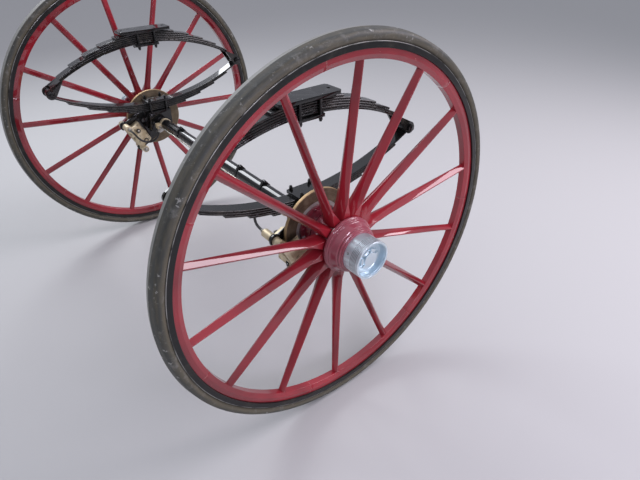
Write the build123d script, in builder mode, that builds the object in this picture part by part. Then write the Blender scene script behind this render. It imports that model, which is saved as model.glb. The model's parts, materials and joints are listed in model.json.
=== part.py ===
from build123d import *
import math
import os

# Rear axle unit of a horse-drawn break carriage: a solid axle on two full-elliptic leaf springs,
# with two fourteen-spoke wooden wheels on rubber tyres and a hydraulic disc brake at each wheel.
# Millimetres. +X is forward, +Y is left, +Z is up. The origin is the centre of the four body-bolt
# holes, level with the top faces of the two spring saddles. "Outward" is away from the car's middle.

# Track and springs
track = 1410.0  # between the wheels' middle planes
spring_inset = 180.0  # wheel's middle plane to the spring's middle plane
eye_half_span = 395.0  # axle line to each eye bolt, along X
eye_height = 194.0  # eye bolts above the axle line
spring_height = 322.0  # underside of the upper main leaf above the axle line, at the middle
leaf_width = 44.0
leaf_thickness = 6.7
leaf_gap = 0.3
leaf_rounding = 3.0  # round edges of each leaf
fork_leaf_rounding = 1.0  # the forked leaf's edges are squarer, for the cheeks
eye_bolt_radius = 8.0
fork_thickness = 7.0
fork_radius = 19.0
fork_arm = 62.0
pad_height = 28.0

# Axle, spindle and collar
axle_radius = 22.0
journal_radius = 20.0
collar_radius = 36.0
collar_length = 21.0
journal_clearance = 0.05
collar_gap = 6.0

# Clips and saddles
clip_bolt_radius = 4.0
clip_bolt_spacing = 68.0  # along X
clip_plate_length = 96.0
clip_plate_thickness = 8.0
strap_thickness = 8.0
saddle_length = 204.0
saddle_width = 72.0
saddle_thickness = 10.0
body_bolt_spacing = 164.0  # along X on each saddle
body_bolt_radius = 5.5
nut_height = 8.0
fit = 0.25  # bolt in its hole, plate beside plate

# Wheel
spoke_count = 14
spoke_phase_left = 16.0  # degrees, first spoke above the forward direction
spoke_phase_right = 4.5
rim_radius = 520.0
felloe_depth = 26.0
felloe_width = 32.0
felloe_flat = 20.0  # inner face between the two bevels
felloe_bevel = 12.0  # height of each bevel
channel_web = 4.0
channel_flange_height = 12.0
channel_flange = 3.0
channel_inset = 4.0  # channel's side, inside the tyre's widest part
tyre_height = 44.0  # rim's outer face to the tread
tyre_width = 50.0
tyre_crown = 3.0  # middle of the tread above its edges
tyre_tread = 36.0  # width of the tread
tyre_neck = 9.0  # channel's lip to the tyre's widest part
tyre_seat_clearance = 0.2
dish = 27.0  # spokes lie this far inward at the nave
seat = 0.1  # spoke ends and pressed rings beside what carries them

# Nave
nave_band_radius = 72.0
nave_band_width = 54.0
nave_back = 112.0  # back end, inward of the wheel's middle plane
nave_front = 52.0
barrel_radius = 46.0
barrel_swell = 12.0  # barrel's radius beside the band, past the back end's

# Cap
cap_radius = 56.0
cap_length = 56.0
cap_wall = 6.0
cap_recess = 24.0
cap_lip = 2.0  # recess is this much wider at its mouth
cap_nut_flats = 58.0
cap_nut_length = 12.0
cap_nut_slot = 9.0
spindle_end_radius = 21.0
spindle_end_length = 17.0

# Brake
disc_radius = 117.0
disc_thickness = 10.0
disc_bore = 47.0
disc_inset = 122.0  # outer face of the disc, inward of the wheel's middle plane
flange_radius = 69.0
flange_thickness = 8.0
flange_sleeve = 30.0  # length of the flange's sleeve over the nave's back end
flange_rise = 3.0
bracket_thickness = 7.0
caliper_angle = -28.0  # middle of the caliper, degrees above the forward direction
caliper_span = 92.0  # along the disc's edge
caliper_inner = 74.0
caliper_outer = 134.0
pad_thickness = 11.0
pad_gap = 0.6
jaw_gap = 1.0
jaw_outer_thickness = 18.0
jaw_inner_thickness = 34.0
sleeve_radius = 13.5
sleeve_length = 84.0
sleeve_spread = 58.5 # each guide sleeve to the caliper's middle, along the disc's edge
sleeve_place = 126.0  # guide sleeves from the axle line, along the caliper's own radius
sleeve_start = 111.0  # outer end of the sleeves, inward of the wheel's middle plane
horn_width = 22.0
bracket_foot = 34.0  # half width of the bracket behind the axle
bracket_shoulder = 48.0  # radius where the bracket's horns begin
lightening_hole = 9.0
window_length = 52.0  # opening through the caliper's bridge
window_width = 20.0
jaw_bevel = 8.0
piston_radius = 27.0
piston_boss = 12.0
port_radius = 8.0
port_length = 16.0
hose_radius = 4.0
pipe_radius = 2.5
union_inset = 250.0
union_size = 18.0
union_width = 24.0
band_thickness = 1.6

# Heights and places that follow
leaf_pitch = leaf_thickness + leaf_gap
lower_leaf_shares = (1.0, 0.84, 0.66, 0.48, 0.30)  # length of each leaf as a share of the main leaf
upper_leaf_shares = (1.0, 0.86, 0.72, 0.57, 0.42, 0.27)
upper_stack = spring_height + len(upper_leaf_shares) * leaf_pitch
axle_z = -(upper_stack + saddle_thickness)
tyre_radius = rim_radius + tyre_height
pad_top = axle_radius + pad_height
wheel_y = track / 2
spring_y = wheel_y - spring_inset
collar_start = nave_back + collar_gap + collar_length  # inner face of the collar
eye_radius = eye_bolt_radius + fit + leaf_thickness
clip_bolt_y = leaf_width / 2 + 0.5 + clip_bolt_radius
clip_plate_width = 2 * (clip_bolt_y + 1.5 * clip_bolt_radius)

os.makedirs("parts", exist_ok=True)


def save_pair(piece, name):
    # the right-hand piece is the left-hand one mirrored across the car's middle
    for side, solid in (("left", piece.part), ("right", mirror(piece.part, about=Plane.XZ))):
        solid.label = f"{name}_{side}"
        export_step(solid, f"parts/{name}_{side}.step")


def turned(profile, side=1):
    # a part turned about the wheel's axis from (outward, radius) points
    plane = Plane(origin=(0, side * wheel_y, axle_z), x_dir=(0, side, 0), z_dir=(side, 0, 0))
    with BuildPart() as ring:
        with BuildSketch(plane):
            with BuildLine():
                Polyline(*profile, close=True)
            make_face()
        revolve(axis=Axis((0, side * wheel_y, axle_z), (0, 1, 0)))
    return ring


# Axle beam: a solid round bar between the two spindles
with BuildPart() as axle_beam:
    with BuildSketch(Plane(origin=(0, 0, axle_z), z_dir=(0, 1, 0))):
        Circle(axle_radius)
    extrude(amount=wheel_y - collar_start - bracket_thickness, both=True)
axle_beam.part.label = "axle_beam"
export_step(axle_beam.part, "parts/axle_beam.step")

# Spindle: the seat of the caliper bracket, the collar and the journal
collar_end = nave_back + collar_gap
spindle = turned([
    (-collar_start - bracket_thickness, 0),
    (-collar_start - bracket_thickness, axle_radius),
    (-collar_start, axle_radius),
    (-collar_start, collar_radius),
    (-collar_end, collar_radius),
    (-collar_end, journal_radius),
    (nave_front - 4, journal_radius),
    (nave_front - 4, 0),
])
save_pair(spindle, "spindle")

# Leaf springs. Each half is a nest of concentric leaves; the main leaf is the one nearest the eyes.


def leaf_arc(rise):
    # radius of the circle that the eye centres lie on, from half the span and the rise to them
    return (eye_half_span**2 + rise**2) / (2 * rise)


def spring_half(apex, shares, up, with_eyes):
    # apex: the main leaf's outer (convex) face at the middle; up: 1 for the lower half, -1 for the upper
    rise = abs(axle_z + eye_height - apex) - eye_radius
    eye_circle = leaf_arc(rise)
    outer = eye_circle + eye_radius
    centre_z = apex + up * outer
    eye_angle = math.degrees(math.asin(eye_half_span / eye_circle))
    leaves = []
    for number, share in enumerate(shares):
        short_of_eye = 0.0 if with_eyes else math.degrees((eye_radius + 2.5) / outer)
        reach = (eye_angle - short_of_eye) if number == 0 else eye_angle * share
        middle = outer - leaf_thickness / 2 + number * leaf_pitch
        start = math.radians(reach)
        end_plane = Plane(
            origin=(-middle * math.sin(start), spring_y, centre_z - up * middle * math.cos(start)),
            x_dir=(0, 1, 0),
            z_dir=(math.cos(start), 0, -up * math.sin(start)),
        )
        rounding = fork_leaf_rounding if number == 0 and not with_eyes else leaf_rounding
        with BuildPart() as leaf:
            with BuildSketch(end_plane):
                RectangleRounded(leaf_width, leaf_thickness, rounding)
            revolve(axis=Axis((0, spring_y, centre_z), (0, -up, 0)), revolution_arc=2 * reach)
            if number == 0 and with_eyes:
                for end in (-1, 1):
                    spot = (end * eye_half_span, spring_y + leaf_width / 2 - fit, axle_z + eye_height)
                    with BuildSketch(Plane(origin=spot, z_dir=(0, 1, 0))):
                        Circle(eye_radius)
                    extrude(amount=-leaf_width + 2 * fit)
                    with BuildSketch(Plane(origin=spot, z_dir=(0, 1, 0))):
                        Circle(eye_bolt_radius + fit)
                    extrude(amount=-leaf_width, both=True, mode=Mode.SUBTRACT)
            if number == 0 and not with_eyes:
                for end in (-1, 1):
                    for cheek in (-1, 1):
                        face = spring_y + cheek * leaf_width / 2
                        spot = (end * eye_half_span, face, axle_z + eye_height)
                        a = math.radians(eye_angle - math.degrees(fork_arm / outer))
                        along = (end * (outer - leaf_thickness / 2) * math.sin(a), face,
                                 centre_z + (outer - leaf_thickness / 2) * math.cos(a))
                        with BuildSketch(Plane(origin=spot, z_dir=(0, 1, 0), x_dir=(1, 0, 0))):
                            Circle(fork_radius)
                            with Locations((along[0] - spot[0], spot[2] - along[2])):
                                Circle(leaf_thickness / 2)
                            make_hull()
                            Circle(eye_bolt_radius + fit, mode=Mode.SUBTRACT)
                        extrude(amount=cheek * fork_thickness)
        leaves.append(leaf.part)
    with BuildPart() as half:
        for leaf_part in leaves:
            add(leaf_part)
    return half


lower_apex = axle_z + pad_top + (len(lower_leaf_shares) - 1) * leaf_pitch
spring_lower = spring_half(lower_apex, lower_leaf_shares, 1, True)
save_pair(spring_lower, "spring_lower")
upper_apex = axle_z + spring_height + leaf_thickness
spring_upper = spring_half(upper_apex, upper_leaf_shares, -1, False)
save_pair(spring_upper, "spring_upper")

# Seat of the lower spring on the axle, dished under the leaves and round the bar


def clip_holes():
    return [(x, y) for x in (-clip_bolt_spacing / 2, clip_bolt_spacing / 2) for y in (-clip_bolt_y, clip_bolt_y)]


lowest_leaf_face = axle_z + pad_top
lower_rise = abs(axle_z + eye_height - lower_apex) - eye_radius
lower_outer = leaf_arc(lower_rise) + eye_radius + (len(lower_leaf_shares) - 1) * leaf_pitch
upper_rise = abs(axle_z + eye_height - upper_apex) - eye_radius
upper_inner = leaf_arc(upper_rise) + eye_radius - leaf_thickness
upper_outer = upper_inner + len(upper_leaf_shares) * leaf_pitch
clip_plate_bottom = lower_apex + leaf_thickness + leaf_gap
strap_top = axle_z - axle_radius - leaf_gap
upper_clip_top = axle_z + spring_height - leaf_gap
saddle_bottom = axle_z + upper_stack

with BuildPart() as spring_pad:
    with Locations((0, spring_y, axle_z + pad_top / 2)):
        Box(clip_plate_length, clip_plate_width, pad_top)
    with Locations((0, spring_y, axle_z + pad_top + lower_outer)):
        Cylinder(lower_outer + leaf_gap, clip_plate_width, rotation=(90, 0, 0), mode=Mode.SUBTRACT)
    with Locations((0, spring_y, axle_z)):
        Cylinder(axle_radius + fit, clip_plate_width, rotation=(90, 0, 0), mode=Mode.SUBTRACT)
    with Locations(Plane(origin=(0, spring_y, axle_z))):
        with Locations(*clip_holes()):
            Cylinder(clip_bolt_radius + fit, 4 * pad_top, mode=Mode.SUBTRACT)
save_pair(spring_pad, "spring_pad")

with BuildPart() as axle_strap:
    with Locations((0, spring_y, (axle_z + strap_top - strap_thickness) / 2 - fit)):
        Box(clip_plate_length, clip_plate_width, axle_z - strap_top + strap_thickness - 2 * fit)
    with Locations((0, spring_y, axle_z)):
        Cylinder(axle_radius + fit, clip_plate_width, rotation=(90, 0, 0), mode=Mode.SUBTRACT)
    with Locations(Plane(origin=(0, spring_y, axle_z))):
        with Locations(*clip_holes()):
            Cylinder(clip_bolt_radius + fit, 4 * pad_top, mode=Mode.SUBTRACT)
save_pair(axle_strap, "axle_strap")


def clip_plate(bottom, thickness):
    with BuildPart() as plate:
        with BuildSketch(Plane(origin=(0, spring_y, bottom))):
            RectangleRounded(clip_plate_length, clip_plate_width, 6)
            with Locations(*clip_holes()):
                Circle(clip_bolt_radius + fit, mode=Mode.SUBTRACT)
        extrude(amount=thickness)
    return plate


lower_sag = leaf_arc(lower_rise) - math.sqrt(leaf_arc(lower_rise)**2 - (clip_plate_length / 2)**2)
lower_clip_plate = clip_plate(clip_plate_bottom + lower_sag, clip_plate_thickness)
save_pair(lower_clip_plate, "lower_clip_plate")
upper_sag = upper_inner - math.sqrt(upper_inner**2 - (clip_plate_length / 2)**2)
upper_clip_plate = clip_plate(upper_clip_top - upper_sag - clip_plate_thickness, clip_plate_thickness)
save_pair(upper_clip_plate, "upper_clip_plate")


def clip_bolts(nut_face, head_face):
    # four bolts with a nut below nut_face and a head above head_face
    with BuildPart() as bolts:
        with Locations(Plane(origin=(0, spring_y, 0))):
            with Locations(*clip_holes()):
                with Locations((0, 0, (nut_face + head_face) / 2)):
                    Cylinder(clip_bolt_radius, head_face - nut_face + 3 * nut_height)
        for z in (nut_face - nut_height, head_face):
            with BuildSketch(Plane(origin=(0, spring_y, z))):
                with Locations(*clip_holes()):
                    RegularPolygon(1.5 * clip_bolt_radius, 6)
            extrude(amount=nut_height)
    return bolts


strap_bottom = strap_top - strap_thickness
lower_clip_bolts = clip_bolts(strap_bottom, clip_plate_bottom + lower_sag + clip_plate_thickness)
save_pair(lower_clip_bolts, "lower_clip_bolts")

with BuildPart() as upper_clip_bolts:
    nut_face = upper_clip_top - upper_sag - clip_plate_thickness
    for x, y in clip_holes():
        with Locations((x, spring_y + y, (nut_face - 1.5 * nut_height) / 2)):
            Cylinder(clip_bolt_radius, -nut_face + 1.5 * nut_height)
        with Locations((x, spring_y + y, -1.5)):
            Cone(clip_bolt_radius, clip_bolt_radius + 3, 3)
    with BuildSketch(Plane(origin=(0, spring_y, nut_face - nut_height))):
        with Locations(*clip_holes()):
            RegularPolygon(1.5 * clip_bolt_radius, 6)
    extrude(amount=nut_height)
save_pair(upper_clip_bolts, "upper_clip_bolts")

# Saddle plate on the upper half, with the two holes for the body bolts
with BuildPart() as spring_saddle:
    with BuildSketch(Plane(origin=(0, spring_y, -saddle_thickness))):
        RectangleRounded(saddle_length, saddle_width, 10)
        with Locations((-body_bolt_spacing / 2, 0), (body_bolt_spacing / 2, 0)):
            Circle(body_bolt_radius, mode=Mode.SUBTRACT)
        with Locations(*clip_holes()):
            Circle(clip_bolt_radius + fit, mode=Mode.SUBTRACT)
    extrude(amount=saddle_thickness)
    for x, y in clip_holes():
        with Locations((x, spring_y + y, -1.5)):
            Cone(clip_bolt_radius + fit, clip_bolt_radius + 3 + fit, 3, mode=Mode.SUBTRACT)
save_pair(spring_saddle, "spring_saddle")

# Eye bolts through the forks and the rolled eyes
fork_face = leaf_width / 2 + fork_thickness
with BuildPart() as eye_bolts:
    for end in (-1, 1):
        for start, length, shape in ((-fork_face - 14, 2 * fork_face + 22, "shank"), (fork_face, 8, "head"), (-fork_face - 9, 9, "nut")):
            spot = (end * eye_half_span, spring_y + start, axle_z + eye_height)
            with BuildSketch(Plane(origin=spot, z_dir=(0, 1, 0))):
                if shape == "shank":
                    Circle(eye_bolt_radius)
                else:
                    RegularPolygon(1.6 * eye_bolt_radius, 6)
            extrude(amount=length)
save_pair(eye_bolts, "eye_bolts")

# Wheels
felloe_inner = rim_radius - felloe_depth
spoke_belly = 0.3  # place of the widest line, from the middle towards the back
rim_width = 24.0
spoke_sections = (
    # radius, width across the wheel's plane, depth along the axle, width of the front, width of the back
    (nave_band_radius - 4, 31.5, 50, 29, 28),
    (120, 27, 42, 4, 14),
    (180, 26, 34, 3, 13),
    (math.sqrt((felloe_inner - seat)**2 - (rim_width / 2)**2), rim_width, 21, 3, 12),
)
nose_turning = (
    # outward of the wheel's middle plane, radius: ring against the spokes, band, cone, bead
    (0, 79),
    (4, 83),
    (10, 83),
    (13, 80),
    (20, 78.5),
    (22, 76),
    (39, 69),
    (41, 65.5),
    (46, 64.5),
    (48, 61),
    (nave_front, 60),
)
for side_name, side in (("left", 1), ("right", -1)):
    # Wooden rim, bevelled towards the spokes on both faces
    felloe = turned([
        (-felloe_width / 2, felloe_inner + felloe_bevel),
        (-felloe_flat / 2, felloe_inner),
        (felloe_flat / 2, felloe_inner),
        (felloe_width / 2, felloe_inner + felloe_bevel),
        (felloe_width / 2, rim_radius),
        (-felloe_width / 2, rim_radius),
    ], side)
    felloe.part.label = f"felloe_{side_name}"
    export_step(felloe.part, f"parts/felloe_{side_name}.step")

    # Steel channel shrunk on the rim
    channel_inner = rim_radius + seat
    web_top = channel_inner + channel_web
    half = tyre_width / 2 - channel_inset
    channel = turned([
        (-half, channel_inner),
        (half, channel_inner),
        (half, web_top + channel_flange_height),
        (half - channel_flange, web_top + channel_flange_height),
        (half - channel_flange, web_top),
        (-half + channel_flange, web_top),
        (-half + channel_flange, web_top + channel_flange_height),
        (-half, web_top + channel_flange_height),
    ], side)
    channel.part.label = f"tyre_channel_{side_name}"
    export_step(channel.part, f"parts/tyre_channel_{side_name}.step")

    # Solid rubber tyre: a base in the channel and a crowned tread that bulges past the flanges
    base = half - channel_flange - tyre_seat_clearance
    neck = web_top + channel_flange_height + tyre_seat_clearance
    lip = half - channel_flange / 3
    tread_edge = tyre_radius - tyre_crown
    with BuildPart() as tyre:
        plane = Plane(origin=(0, side * wheel_y, axle_z), x_dir=(0, side, 0), z_dir=(side, 0, 0))
        with BuildSketch(plane):
            with BuildLine():
                Polyline((-lip, neck), (-base, neck), (-base, web_top + tyre_seat_clearance),
                         (base, web_top + tyre_seat_clearance), (base, neck), (lip, neck))
                ThreePointArc((lip, neck), (tyre_width / 2, neck + tyre_neck), (tyre_tread / 2, tread_edge))
                ThreePointArc((tyre_tread / 2, tread_edge), (0, tyre_radius), (-tyre_tread / 2, tread_edge))
                ThreePointArc((-tyre_tread / 2, tread_edge), (-tyre_width / 2, neck + tyre_neck), (-lip, neck))
            make_face()
        revolve(axis=Axis((0, side * wheel_y, axle_z), (0, 1, 0)))
    tyre.part.label = f"tyre_{side_name}"
    export_step(tyre.part, f"parts/tyre_{side_name}.step")

    # Nave: barrel, back collar, band that the spokes stand on, and the stepped nose
    bore = journal_radius + journal_clearance
    nave = turned([
        (-nave_back, bore),
        (-nave_back, barrel_radius),
        (-nave_band_width - barrel_swell, barrel_radius + barrel_swell),
        (-nave_band_width - 2, nave_band_radius - 4),
        (-nave_band_width, nave_band_radius),
        (0, nave_band_radius),
        *nose_turning,
        (nave_front, bore),
    ], side)
    nave.part.label = f"nave_{side_name}"
    export_step(nave.part, f"parts/nave_{side_name}.step")

    # Spokes: broad feet side by side on the nave's band, then a ridge down the front and a slimmer back
    with BuildPart() as spoke:
        for radius, width, depth, front, back in spoke_sections:
            lean = dish * (felloe_inner - radius) / (felloe_inner - nave_band_radius)
            spot = (radius, side * (wheel_y - lean), axle_z)
            face = -side * depth / 2
            with BuildSketch(Plane(origin=spot, x_dir=(0, 0, 1), z_dir=(1, 0, 0))):
                with BuildLine():
                    Line((-front / 2, face), (front / 2, face))
                    ThreePointArc((front / 2, face), (width / 2, -spoke_belly * face), (back / 2, -face))
                    Line((back / 2, -face), (-back / 2, -face))
                    ThreePointArc((-back / 2, -face), (-width / 2, -spoke_belly * face), (-front / 2, face))
                make_face()
        loft(ruled=True)
        with Locations((0, side * wheel_y, axle_z)):
            Cylinder(nave_band_radius + seat, 8 * dish, rotation=(90, 0, 0), mode=Mode.SUBTRACT)
    with BuildPart() as spokes:
        phase = spoke_phase_left if side > 0 else spoke_phase_right
        for number in range(spoke_count):
            add(spoke.part.rotate(Axis((0, 0, axle_z), (0, 1, 0)), -phase - number * 360 / spoke_count))
    spokes.part.label = f"spokes_{side_name}"
    export_step(spokes.part, f"parts/spokes_{side_name}.step")

    # Aluminium cap with a deep recess in its face
    cap_start = nave_front
    cap_end = cap_start + cap_length
    hub_cap = turned([
        (cap_start, cap_radius - cap_wall),
        (cap_start, cap_radius),
        (cap_end, cap_radius),
        (cap_end, cap_radius - cap_wall),
        (cap_end - cap_recess, cap_radius - cap_wall - cap_lip),
        (cap_end - cap_recess, 0),
        (cap_end - cap_recess - cap_wall, 0),
        (cap_end - cap_recess - cap_wall, cap_radius - cap_wall),
    ], side)
    hub_cap.part.label = f"hub_cap_{side_name}"
    export_step(hub_cap.part, f"parts/hub_cap_{side_name}.step")

    with BuildPart() as cap_nut:
        nut_plane = Plane(origin=(0, side * (wheel_y + cap_end - cap_recess), axle_z), z_dir=(0, side, 0))
        with BuildSketch(nut_plane):
            RegularPolygon(cap_nut_flats / 2, 6, major_radius=False)
        extrude(amount=cap_nut_length)
        with BuildSketch(nut_plane.offset(cap_nut_length / 2)):
            with PolarLocations(cap_nut_flats / 2, 6):
                Rectangle(cap_nut_flats / 2, cap_nut_slot)
        extrude(amount=cap_nut_length, mode=Mode.SUBTRACT)
        with BuildSketch(nut_plane):
            Circle(spindle_end_radius)
        extrude(amount=spindle_end_length)
    cap_nut.part.label = f"cap_nut_{side_name}"
    export_step(cap_nut.part, f"parts/cap_nut_{side_name}.step")

    # Brake disc and the flange that carries it
    brake_disc = turned([
        (-disc_inset - disc_thickness, disc_bore),
        (-disc_inset - disc_thickness, disc_radius),
        (-disc_inset, disc_radius),
        (-disc_inset, disc_bore),
    ], side)
    brake_disc.part.label = f"brake_disc_{side_name}"
    export_step(brake_disc.part, f"parts/brake_disc_{side_name}.step")
    disc_flange = turned([
        (-disc_inset, disc_bore),
        (-disc_inset, flange_radius),
        (-disc_inset + flange_thickness, flange_radius),
        (-disc_inset + flange_thickness + flange_rise, barrel_radius + barrel_swell),
        (-disc_inset + flange_sleeve, barrel_radius + barrel_swell - flange_rise),
        (-disc_inset + flange_sleeve, barrel_radius + barrel_swell / 2 + seat),
        (-nave_back, barrel_radius + seat),
        (-nave_back - seat, barrel_radius + seat),
        (-nave_back - seat, disc_bore),
    ], side)
    disc_flange.part.label = f"disc_flange_{side_name}"
    export_step(disc_flange.part, f"parts/disc_flange_{side_name}.step")

# Disc brakes. The caliper's own plane has its x along the radius through the caliper's middle and
# its y outward, so blocks drawn on it are extruded along the disc's edge.
turn = math.radians(caliper_angle)
radial = Vector(math.cos(turn), 0, math.sin(turn))
tangent = Vector(-math.sin(turn), 0, math.cos(turn))
hub_centre = Vector(0, wheel_y, axle_z)
disc_inner_face = disc_inset + disc_thickness
inner_pad_face = disc_inner_face + pad_gap
outer_pad_face = disc_inset - pad_gap


def caliper_plane(inset):
    # plane across the axle, inward of the wheel's middle plane: x is the radius, y the tangent
    return Plane(origin=hub_centre - Vector(0, inset, 0), x_dir=radial, z_dir=(0, -1, 0))


# with z_dir inward, the plane's y is the tangent reversed, so positive y is the lower end
upper_sleeve = (sleeve_place, -sleeve_spread)
lower_sleeve = (sleeve_place, sleeve_spread)

with BuildPart() as caliper_bracket:
    with BuildSketch(caliper_plane(collar_start)):
        with BuildLine():
            horn_in = sleeve_spread - horn_width / 2
            horn_out = sleeve_spread + horn_width / 2
            throat = caliper_inner - 3
            Polyline((-20, -bracket_foot), (bracket_shoulder, -horn_out), (sleeve_place, -horn_out),
                     (sleeve_place, -horn_in), (throat, -horn_in), (throat, horn_in), (sleeve_place, horn_in),
                     (sleeve_place, horn_out), (bracket_shoulder, horn_out), (-20, bracket_foot), close=True)
        make_face()
        Circle(collar_radius + 4)
        with Locations(upper_sleeve, lower_sleeve):
            Circle(sleeve_radius + 6)
        with Locations(upper_sleeve, lower_sleeve):
            Circle(sleeve_radius + fit, mode=Mode.SUBTRACT)
        Circle(axle_radius + fit, mode=Mode.SUBTRACT)
        with Locations((bracket_shoulder, -bracket_shoulder / 2), (bracket_shoulder, bracket_shoulder / 2)):
            Circle(lightening_hole, mode=Mode.SUBTRACT)
        with Locations((throat + sleeve_place / 2, 0)):
            Rectangle(sleeve_place, 2 * horn_in, mode=Mode.SUBTRACT)
    extrude(amount=bracket_thickness)
save_pair(caliper_bracket, "caliper_bracket")

jaw_outer_face = outer_pad_face - pad_thickness - jaw_gap
jaw_inner_face = inner_pad_face + pad_thickness + jaw_gap
caliper_end = jaw_inner_face + jaw_inner_thickness
bridge_radius = disc_radius + 6  # underside of the bridge over the disc's edge
piston_place = (caliper_inner + disc_radius) / 2 + 4
with BuildPart() as caliper:
    profile_plane = Plane(origin=hub_centre, x_dir=radial, z_dir=tangent)
    with BuildSketch(profile_plane):
        with BuildLine():
            # (radius, outward)
            jaw_end = -jaw_outer_face + jaw_outer_thickness
            Polyline((caliper_inner, -jaw_outer_face), (caliper_inner + jaw_bevel, jaw_end),
                     (caliper_outer - jaw_bevel, jaw_end), (caliper_outer, jaw_end - jaw_bevel),
                     (caliper_outer, -caliper_end + jaw_bevel), (caliper_outer - jaw_bevel, -caliper_end),
                     (caliper_inner + jaw_bevel, -caliper_end), (caliper_inner, -caliper_end + jaw_bevel),
                     (caliper_inner, -jaw_inner_face), (bridge_radius, -jaw_inner_face),
                     (bridge_radius, -jaw_outer_face), close=True)
        make_face()
    extrude(amount=caliper_span / 2, both=True)
    with BuildSketch(caliper_plane(caliper_end)):
        with Locations((piston_place, 0)):
            Circle(piston_radius)
    extrude(amount=piston_boss, taper=12)
    with BuildSketch(caliper_plane(caliper_end)):
        with Locations((piston_place, -piston_radius), (piston_place, piston_radius)):
            Circle(port_radius)
    extrude(amount=port_length)
    with BuildSketch(caliper_plane(sleeve_start)):
        with Locations(upper_sleeve, lower_sleeve):
            Circle(sleeve_radius)
    extrude(amount=sleeve_length)
    # the disc turns inside the bridge, and the pads' window opens through it
    with BuildSketch(caliper_plane(jaw_outer_face)):
        Circle(bridge_radius)
    extrude(amount=jaw_inner_face - jaw_outer_face, mode=Mode.SUBTRACT)
    bridge_middle = Vector(0, (jaw_inner_face + jaw_outer_face) / 2, 0)
    window_plane = Plane(origin=hub_centre + radial * caliper_outer - bridge_middle, x_dir=tangent, z_dir=radial)
    with BuildSketch(window_plane):
        RectangleRounded(window_length, window_width, window_width / 4)
    extrude(amount=bridge_radius - caliper_outer - seat, mode=Mode.SUBTRACT)
save_pair(caliper, "caliper")

with BuildPart() as brake_pads:
    for face, way in ((inner_pad_face, 1), (outer_pad_face, -1)):
        with BuildSketch(caliper_plane(face)):
            with Locations(((caliper_inner + disc_radius) / 2 + 1, 0)):
                RectangleRounded(disc_radius - caliper_inner - 4, caliper_span - 16, 5)
        extrude(amount=way * pad_thickness)
save_pair(brake_pads, "brake_pads")

# Brake pipe along the axle's front, with a union at each end, a tee in the middle and four clips
pipe_x = axle_radius + 0.5 * union_size + fit


def band_block(middle_y, width, block_width, size):
    # a band round the axle with a block on its front
    with BuildPart() as block:
        with BuildSketch(Plane(origin=(0, middle_y, axle_z), z_dir=(0, 1, 0))):
            Circle(axle_radius + fit + band_thickness)
        extrude(amount=width / 2, both=True)
        with Locations((pipe_x, middle_y, axle_z)):
            Box(size, block_width, size)
        with BuildSketch(Plane(origin=(0, middle_y, axle_z), z_dir=(0, 1, 0))):
            Circle(axle_radius + fit)
        extrude(amount=block_width, both=True, mode=Mode.SUBTRACT)
    return block


union_y = wheel_y - union_inset
hose_union = band_block(union_y, 14, union_width, union_size)
save_pair(hose_union, "hose_union")
tee_block = band_block(0, 14, union_width, union_size)
with BuildPart() as brake_tee:
    add(tee_block.part)
    with BuildSketch(Plane(origin=(pipe_x, 0, axle_z + union_size / 2))):
        RegularPolygon(7, 6)
    extrude(amount=10)
brake_tee.part.label = "brake_tee"
export_step(brake_tee.part, "parts/brake_tee.step")

with BuildPart() as brake_pipe:
    for side in (-1, 1):
        with BuildSketch(Plane(origin=(pipe_x, side * union_width / 2, axle_z), z_dir=(0, side, 0))):
            Circle(pipe_radius)
        extrude(amount=union_y - union_width)
brake_pipe.part.label = "brake_pipe"
export_step(brake_pipe.part, "parts/brake_pipe.step")

with BuildPart() as pipe_clips:
    for middle_y in (-300, -150, 150, 300):
        with BuildSketch(Plane(origin=(0, middle_y, axle_z), z_dir=(0, 1, 0))):
            Circle(axle_radius + fit + band_thickness)
            with Locations((pipe_x, 0)):
                Circle(pipe_radius + fit + band_thickness)
            make_hull()
            Circle(axle_radius + fit, mode=Mode.SUBTRACT)
            with Locations((pipe_x, 0)):
                Circle(pipe_radius + fit, mode=Mode.SUBTRACT)
        extrude(amount=5, both=True)
pipe_clips.part.label = "pipe_clips"
export_step(pipe_clips.part, "parts/pipe_clips.step")

# Flexible hoses: (forward, inward of the wheel's middle plane, above the axle line). The left one
# arches over to the top of its union, the right one hangs and comes up from below.
sleeve_spot = hub_centre + radial * sleeve_place + tangent * sleeve_spread
hose_start = (sleeve_spot.X, sleeve_start + sleeve_length, sleeve_spot.Z - axle_z)
hose_routes = {
    "left": [hose_start, (hose_start[0], 223, hose_start[2]), (137, 249, 0), (128, 266, 20), (108, 269, 42),
             (80, 262, 55), (53, 254, 52), (36, 250.5, 34), (pipe_x, union_inset, union_size / 2)],
    "right": [hose_start, (hose_start[0], 223, hose_start[2]), (137, 249, -12), (128, 266, -30), (108, 269, -46),
              (80, 262, -56), (53, 254, -52), (36, 250.5, -34), (pipe_x, union_inset, -union_size / 2)],
}
for side_name, side in (("left", 1), ("right", -1)):
    route = [Vector(x, side * (wheel_y - inset), axle_z + z) for x, inset, z in hose_routes[side_name]]
    radii = []
    for before, corner, after in zip(route, route[1:], route[2:]):
        bend = (corner - before).get_angle(after - corner)
        radii.append(0.45 * min((corner - before).length, (after - corner).length) / math.tan(math.radians(bend) / 2))
    print("hose radii", side_name, [round(r) for r in radii], "runs", [round((b - a).length) for a, b in zip(route, route[1:])])
    with BuildPart() as brake_hose:
        with BuildLine() as path:
            FilletPolyline(*route, radius=radii)
        with BuildSketch(Plane(origin=route[0], z_dir=route[1] - route[0])):
            Circle(hose_radius)
        sweep()
    run = sum(edge.length for edge in path.edges())
    print("hose length", side_name, round(run, 1), "volume ratio", brake_hose.part.volume / (math.pi * hose_radius**2 * run))
    brake_hose.part.label = f"brake_hose_{side_name}"
    export_step(brake_hose.part, f"parts/brake_hose_{side_name}.step")
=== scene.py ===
import bmesh
import bpy
import json
import math
from mathutils import Matrix, Vector


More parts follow.
